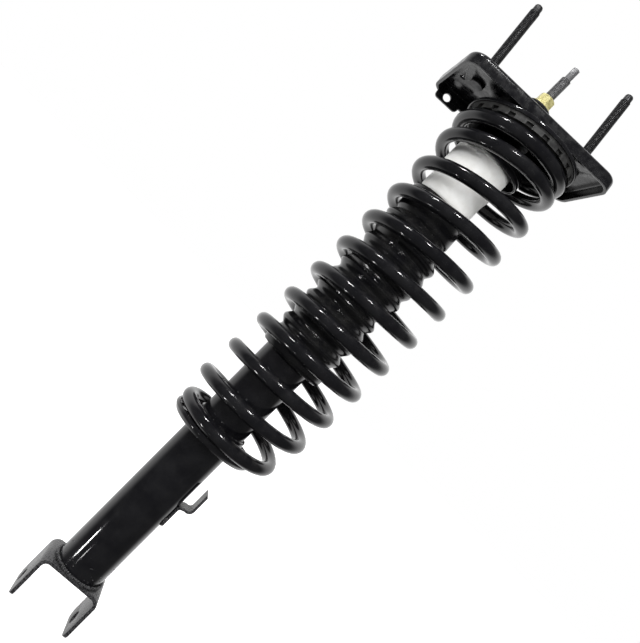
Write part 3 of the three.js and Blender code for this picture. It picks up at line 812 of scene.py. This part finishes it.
def wound(name, radius, first, last):
    """Round wire that follows the spring's line from one turn to another."""
    curve = bpy.data.curves.new(name, "CURVE")
    curve.dimensions = "3D"
    curve.bevel_depth = radius * MM
    curve.bevel_resolution = 8
    curve.use_fill_caps = True
    line = curve.splines.new("POLY")
    count = round((last - first) * POINTS_PER_TURN) + 1
    line.points.add(count - 1)
    for i, point in enumerate(line.points):
        point.co = (*wire_point(first + (last - first) * i / (count - 1)), 1)
    wire = bpy.data.objects.new(name, curve)
    bpy.context.scene.collection.objects.link(wire)
    bpy.ops.object.select_all(action="DESELECT")
    wire.select_set(True)
    bpy.context.view_layer.objects.active = wire
    bpy.ops.object.convert(target="MESH")
    wire = bpy.context.object
    bpy.ops.object.mode_set(mode="EDIT")
    bpy.ops.mesh.select_all(action="SELECT")
    bpy.ops.mesh.remove_doubles(threshold=0.001 * MM)
    bpy.ops.mesh.normals_make_consistent(inside=False)
    bpy.ops.object.mode_set(mode="OBJECT")
    return wire


spring = wound("spring_wire", WIRE_RADIUS, FIRST_TURN, LAST_TURN)
soften(spring, 0.8, segments=3, angle=60)
powder_black = finish("powder_black", (0.004, 0.004, 0.005), (0.008, 0.008, 0.009), 0.12, 0.04,
                      grain=1.8, depth=0.012, wear_and_sheen=0.1, dust=0.06)
paint(spring, powder_black)
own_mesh(spring)
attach(spring, "rod_assembly")
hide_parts("coil_spring")


# ---- inclined mount ----
# The tray that bolts under the strut tower: 3 mm steel pressed into a shallow box, with a drawn boss that
# grips the rubber bushing, an ear with a hole on the far flange and a drain hole. Painted gloss black.
PLATE_LENGTH = 179
PLATE_DEPTH = 100
PLATE_OFFSET = 4
PLATE_CORNER = 16
EDGE_BEND = 5
SHEET = 3
FLANGE_DROP = 13.7
BOSS_TOP = 12.5
STUD_SPACING = 124.5
EAR_WIDTH = 28
EAR_DROP = 5.5
STUD_HOLE_RADIUS = 5.3
EAR_HOLE_RADIUS = 4.2
DRAIN_HOLE_RADIUS = 3.2
BOSS_BORE_RADIUS = 13
PLATE_TURN = upright.rotation_difference(Vector((-0.094, 0.083, 0.992)))


def incline(piece, offset=(0, 0, 0)):
    """Turns a piece that is drawn square to the plate into its place on the strut."""
    piece.data.transform(PLATE_TURN.to_matrix().to_4x4() @ Matrix.Translation([v * MM for v in offset]))


bpy.ops.object.select_all(action="DESELECT")
bpy.ops.mesh.primitive_plane_add(size=MM)
tray = bpy.context.object
tray.name = "mount_tray"
bpy.ops.object.mode_set(mode="EDIT")
bpy.ops.transform.resize(value=(PLATE_LENGTH, PLATE_DEPTH, 1))
bpy.ops.mesh.select_mode(type="FACE")
bpy.ops.mesh.select_all(action="SELECT")
bpy.ops.mesh.bevel(offset=PLATE_CORNER * MM, segments=10, affect="VERTICES")
bpy.ops.mesh.select_all(action="SELECT")
bpy.ops.mesh.extrude_region_move(TRANSFORM_OT_translate={"value": (0, 0, -FLANGE_DROP * MM)})
bpy.ops.mesh.delete(type="ONLY_FACE")
bpy.ops.object.mode_set(mode="OBJECT")
edit_edges(tray, lambda a, b: min(a.z, b.z) > -1 * MM)
bpy.ops.mesh.bevel(offset=EDGE_BEND * MM, segments=6)
bpy.ops.mesh.select_all(action="SELECT")
bpy.ops.mesh.normals_make_consistent(inside=False)
bpy.ops.object.mode_set(mode="OBJECT")
apply_modifier(tray, "SOLIDIFY", thickness=SHEET * MM, offset=-1, use_even_offset=True)
tray.data.transform(Matrix.Translation((PLATE_OFFSET * MM, 0, 0)))
left_end = PLATE_OFFSET - PLATE_LENGTH / 2
bpy.ops.mesh.primitive_cube_add(size=MM)
ear = bpy.context.object
ear.scale = (EAR_WIDTH, SHEET - 0.4, EAR_DROP + 5)
ear.location = Vector((left_end + 21, (PLATE_DEPTH - SHEET) / 2, (5 - EAR_DROP) / 2 - FLANGE_DROP)) * MM
bpy.ops.object.transform_apply(location=True, rotation=True, scale=True)
edit_edges(ear, lambda a, b: max(a.z, b.z) < -FLANGE_DROP * MM and abs(a.y - b.y) > 1 * MM)
bpy.ops.mesh.bevel(offset=4 * MM, segments=6)
bpy.ops.object.mode_set(mode="OBJECT")
carve(tray, ear, "UNION")
incline(tray)

boss = spun("boss", [
    [27.6, -7], [29.9, -7], [29.9, -3.4], [29.2, -0.6], [28.3, 3], [27.5, 8], [26.8, 10.2], [25.4, 11.7],
    [23.4, BOSS_TOP], [BOSS_BORE_RADIUS, BOSS_TOP], [BOSS_BORE_RADIUS, BOSS_TOP - SHEET],
    [22.6, BOSS_TOP - SHEET], [24.3, 8.2], [25.2, 6.4], [27.6, -4],
])
inside_boss_wall = 27.9
carve(tray, rod_tool(inside_boss_wall, 40, (0, 0, 0), vertices=96))
carve(tray, boss, "UNION")
holes = [((side * STUD_SPACING / 2 + PLATE_OFFSET, 0, 0), STUD_HOLE_RADIUS, (0, 0, 0)) for side in (-1, 1)]
holes += [((left_end + 19, PLATE_DEPTH / 2, -FLANGE_DROP + 0.8), EAR_HOLE_RADIUS, (math.pi / 2, 0, 0)),
          ((left_end + 14, 12, 0), DRAIN_HOLE_RADIUS, (0, 0, 0))]
for place, radius, turn in holes:
    tool = rod_tool(radius, 18, place, turn, vertices=40)
    incline(tool)
    carve(tray, tool)
soften(tray, 0.35, segments=2, angle=45)
tray_black = finish("tray_black_paint", (0.004, 0.004, 0.005), (0.010, 0.010, 0.011), 0.22, 0.08,
                    grain=1.8, blotch=6, depth=0.03, wear_and_sheen=0.3, dust=0.12)
paint(tray, tray_black)
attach(tray, "upper_mount")
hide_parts("mount_bracket")


# ---- upper spring pan ----
# A pressed ring that stands inside the tray and carries the isolator: an upright wall and a flat shelf with
# a turned-down lip. The top coil climbs past it, so the shelf is relieved along the wire.
SEAT_OFFSET = 10
TILT_HEIGHT = 2.5  # of the rubber bushing's rocking line
seat_place = (SEAT_OFFSET * math.cos(BOW_ANGLE), SEAT_OFFSET * math.sin(BOW_ANGLE), 0)


def coil_room(spare=1.5, keep=1.0, tilt=0.0, first=10.6, last=LAST_TURN + 0.03):
    """The room that the top coils need, with the spring shortened to a share of its length and the rod
    tilted in its bushing by some degrees. A shortened room is under one turn long, or it would cut itself."""
    room = wound("coil_room", WIRE_RADIUS + spare, first, last)
    anchor = Matrix.Translation((0, 0, SQUASH_ANCHOR * MM))
    shorter = anchor @ Matrix.Diagonal((1, 1, keep, 1)) @ anchor.inverted()
    hinge = Matrix.Translation((0, 0, TILT_HEIGHT * MM))
    tilted = hinge @ Matrix.Rotation(math.radians(tilt), 4, "X") @ hinge.inverted()
    room.data.transform(tilted @ shorter)
    return room


upper_pan = spun("upper_spring_pan", [
    [41.5, -3.3], [43.8, -3.3], [43.8, -14.4], [44.8, -15.6], [59.4, -15.6], [60.8, -16.4], [61.2, -18],
    [61.2, -20], [59.6, -20], [59.6, -18], [41.5, -18],
], steps=128)
incline(upper_pan, seat_place)
carve(upper_pan, coil_room())
soften(upper_pan, 0.3, segments=2, angle=40)
paint(upper_pan, gloss_black)
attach(upper_pan, "upper_mount")
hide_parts("upper_spring_seat")


# ---- spring isolator ----
# A moulded rubber ring between the pan and the top coil, with castellations round its rim that let it
# spread under load. The pan's lip holds it, and its grooves leave the coil room to rise and tilt.
NOTCHES = 20
NOTCH_WIDTH = 7
NOTCH_HEIGHT = 17
HALF_BUMP = 0.82
MOST_TILT = 1.5
isolator = spun("isolator_ring", [
    [42, -28], [42.6, -30.4], [44, -31], [58.2, -31], [59, -30.4], [59.2, -29], [59.2, -18.3], [42, -18.3],
], steps=160)
bpy.ops.mesh.primitive_cube_add(size=MM, location=(59.2 * MM, 0, -31 * MM))
notch = bpy.context.object
notch.scale = (NOTCH_WIDTH, NOTCH_WIDTH, NOTCH_HEIGHT)
bpy.ops.object.transform_apply(location=True, rotation=True, scale=True)
bpy.ops.object.mode_set(mode="EDIT")
bpy.ops.mesh.select_all(action="SELECT")
copy_round(NOTCHES)
bpy.ops.object.mode_set(mode="OBJECT")
carve(isolator, notch)
incline(isolator, seat_place)
for keep in (1, HALF_BUMP, FULL_BUMP):
    for tilt in (-MOST_TILT, MOST_TILT):
        carve(isolator, coil_room(0.8, keep, tilt, 10.6, 11.4))
        carve(isolator, coil_room(0.8, keep, tilt, 11.35, LAST_TURN + 0.03))
smooth(isolator, 35)
moulded_rubber = finish("moulded_rubber", (0.016, 0.016, 0.016), (0.035, 0.035, 0.034), 0.5, 0.1,
                        grain=0.8, blotch=7, depth=0.06, bare_and_sheen=(0.09, 0.09, 0.09), wear_and_sheen=0.5, dust=0.35)
paint(isolator, moulded_rubber)
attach(isolator, "upper_mount")
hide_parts("spring_isolator")


# ---- mounting studs ----
# M10 studs, 93 mm long, pressed into the tray from below, with flat knurled heads and an unthreaded lead at
# the tip. Phosphated dark grey and oiled.
STUD_HEIGHT = 93
phosphate = finish("dark_phosphate", (0.05, 0.05, 0.052), (0.032, 0.032, 0.034), 0.42, 0.08, metallic=0.7,
                   grain=0.4, blotch=6, depth=0.02, bare_and_sheen=(0.3, 0.3, 0.3), wear_and_sheen=0.5, dust=0.15)
for name, side in (("mount_stud_left", -1), ("mount_stud_right", 1)):
    shank = spun(name + "_shank", [
        [0, -5.6], [6.7, -5.6], [7.2, -5.1], [7.2, -3.7], [6.8, -3.3], [5, -3.3], [5, 1.6], [4.3, 2.4],
        [4.3, STUD_HEIGHT - 6.4], [4.2, STUD_HEIGHT - 1.6], [3.6, STUD_HEIGHT - 0.3], [3, STUD_HEIGHT],
        [0, STUD_HEIGHT],
    ], steps=40)
    stud = joined(name + "_bolt", shank, thread(name + "_thread", 5, 0.75, 1.5, 1.2, STUD_HEIGHT - 5))
    smooth(stud, 35)
    incline(stud, (PLATE_OFFSET + side * STUD_SPACING / 2, 0, 0))
    paint(stud, phosphate)
    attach(stud, "upper_mount")
    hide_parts(name)


# ---- rod bushings, sleeve and washers ----
# Two rubber rings clamp the tray's boss between a washer below and a washer above, on a steel sleeve that
# sets their squeeze. They let the rod rock in the mount.
upper_ring = spun("upper_bushing_ring", [
    [8, 9.8], [12.7, 9.8], [12.7, 12.8], [14.2, 12.8], [14.9, 13.4], [15.1, 14.6], [14.8, 15.8], [14, 17],
    [13, 17.8], [8, 17.8],
], steps=72)
soften(upper_ring, 0.3)
paint(upper_ring, moulded_rubber)
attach(upper_ring, "upper_mount")
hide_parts("upper_bushing")

top_washer = spun("upper_washer", [
    [5.3, 18.5], [12.8, 18.5], [13, 18.9], [13, 20.2], [12.6, 20.6], [5.3, 20.6],
], steps=72)
smooth(top_washer, 35)
paint(top_washer, phosphate)
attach(top_washer, "rod_assembly")
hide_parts("upper_retainer")
for node, material in (("lower_bushing", moulded_rubber), ("lower_retainer", phosphate),
                       ("bushing_sleeve", bright_steel)):
    paint(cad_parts[node], material)


# ---- rod nut ----
# A forged M10 flange nut, zinc plated and passivated yellow. Its top corners are chamfered, and it clamps the
# washers and the sleeve on the rod's shoulder.
# The near-white edge colour on a strong edge mask is rubbed plating and also a painted highlight along the
# nut's sharp edges.
yellow_zinc = finish("yellow_zinc", (0.74, 0.68, 0.33), (0.40, 0.36, 0.15), 0.3, 0.1, metallic=0.4,
                     grain=0.5, blotch=3, depth=0.03, bare_and_sheen=(0.85, 0.85, 0.78), wear_and_sheen=0.6, dust=0.05)
NUT_BASE = 20.9
NUT_TOP = 32.8
NUT_RADIUS = 8.9
nut = rod_tool(NUT_RADIUS, NUT_TOP - NUT_BASE - 1, (0, 0, (NUT_BASE + NUT_TOP + 1) / 2), vertices=6)
edit_edges(nut, lambda a, b: abs(a.z - b.z) > 1 * MM)
bpy.ops.mesh.bevel(offset=0.35 * MM, segments=3)
bpy.ops.object.mode_set(mode="OBJECT")
nut_cone = spun("nut_cone", [[2, NUT_BASE - 3], [9.2, NUT_BASE - 3], [9.2, NUT_TOP - 1.7], [7.6, NUT_TOP],
                             [2, NUT_TOP]], steps=48)
carve(nut, nut_cone, "INTERSECT")
nut_flange = spun("nut_flange", [
    [4, NUT_BASE], [10.3, NUT_BASE], [10.6, NUT_BASE + 0.5], [10.5, NUT_BASE + 1.6], [9.8, NUT_BASE + 2.2],
    [8, NUT_BASE + 3.6], [4, NUT_BASE + 4],
], steps=48)
carve(nut, nut_flange, "UNION")
carve(nut, rod_tool(5.3, 40, (0, 0, 30), vertices=48))
nut.name = "rod_nut_plated"
smooth(nut, 25)
paint(nut, yellow_zinc)
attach(nut, "rod_assembly")
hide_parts("rod_nut")
